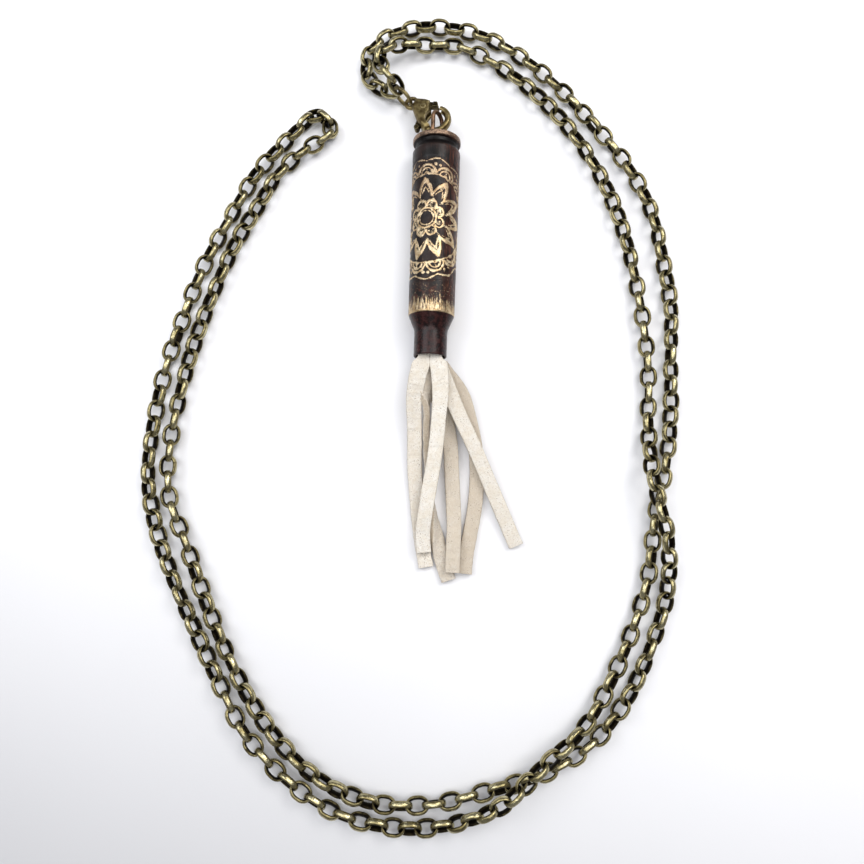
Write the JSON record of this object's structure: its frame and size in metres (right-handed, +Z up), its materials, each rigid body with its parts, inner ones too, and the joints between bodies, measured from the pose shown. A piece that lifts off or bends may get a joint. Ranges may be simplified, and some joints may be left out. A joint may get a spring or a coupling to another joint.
{
  "type": "pendant necklace",
  "caption": "Cartridge-case pendant with a wire eye and a suede lace tassel, hung by a lobster clasp from a long belcher-link neck chain that lies doubled in an oval",
  "frame": {"origin": "on the surface the necklace lies on, below the middle of the pendant with its clasp and jump ring; the chain and laces are left out of that middle", "axes": "+Z up off the surface, +Y along the case from its mouth towards the clasp, +X to the right as seen from above"},
  "size_m": [0.1052, 0.1623, 0.0096],
  "materials": {
    "etched_brass": "blackened, with etched lines rubbed back to bright brass",
    "worn_brass": "worn and tarnished",
    "dark_wire": "dark copper-brown, semi-gloss",
    "suede": "ivory suede with a fine nap",
    "clasp_bronze": "antique bronze plate, dark in the recesses",
    "chain_bronze": "antique bronze plate, greenish-gold where rubbed and near black where links meet",
    "spring_steel": "thin bare strip"
  },
  "bodies": {
    "chain": {"jump_ring": "chain_bronze", "chain_01": "chain_bronze", "chain_02": "chain_bronze", "chain_03": "chain_bronze", "chain_04": "chain_bronze", "chain_05": "chain_bronze", "chain_06": "chain_bronze", "chain_07": "chain_bronze", "chain_08": "chain_bronze", "chain_09": "chain_bronze", "chain_10": "chain_bronze"},
    "clasp": {"clasp_body": "clasp_bronze", "lever_pin": "clasp_bronze", "lever_spring": "spring_steel"},
    "lever": {"clasp_lever": "clasp_bronze"},
    "pendant": {"case_shell": "etched_brass", "primer_cup": "worn_brass", "hanger_wire": "dark_wire", "lace_1": "suede", "lace_2": "suede", "lace_3": "suede"}
  },
  "joints": [
    {"name": "clasp_swing", "type": "hinge", "parent": "chain", "child": "clasp", "pos_m": [-0.00433, 0.02584, 0.00269], "axis": [-0.6388, -0.769, -0.0225], "range_deg": [-15, 45]},
    {"name": "lever_open", "type": "hinge", "parent": "clasp", "child": "lever", "pos_m": [-0.00077, 0.02319, 0.00367], "axis": [0.1796, -0.1207, -0.9763], "range_deg": [0, 20], "stiffness_Nm_per_rad": 0.002, "springref_deg": -20.05, "deforming": ["lever_spring"]},
    {"name": "pendant_swing", "type": "hinge", "parent": "clasp", "child": "pendant", "pos_m": [0.00148, 0.01809, 0.00472], "axis": [0.9835, 0, 0.181], "range_deg": [-70, 70]}
  ]
}
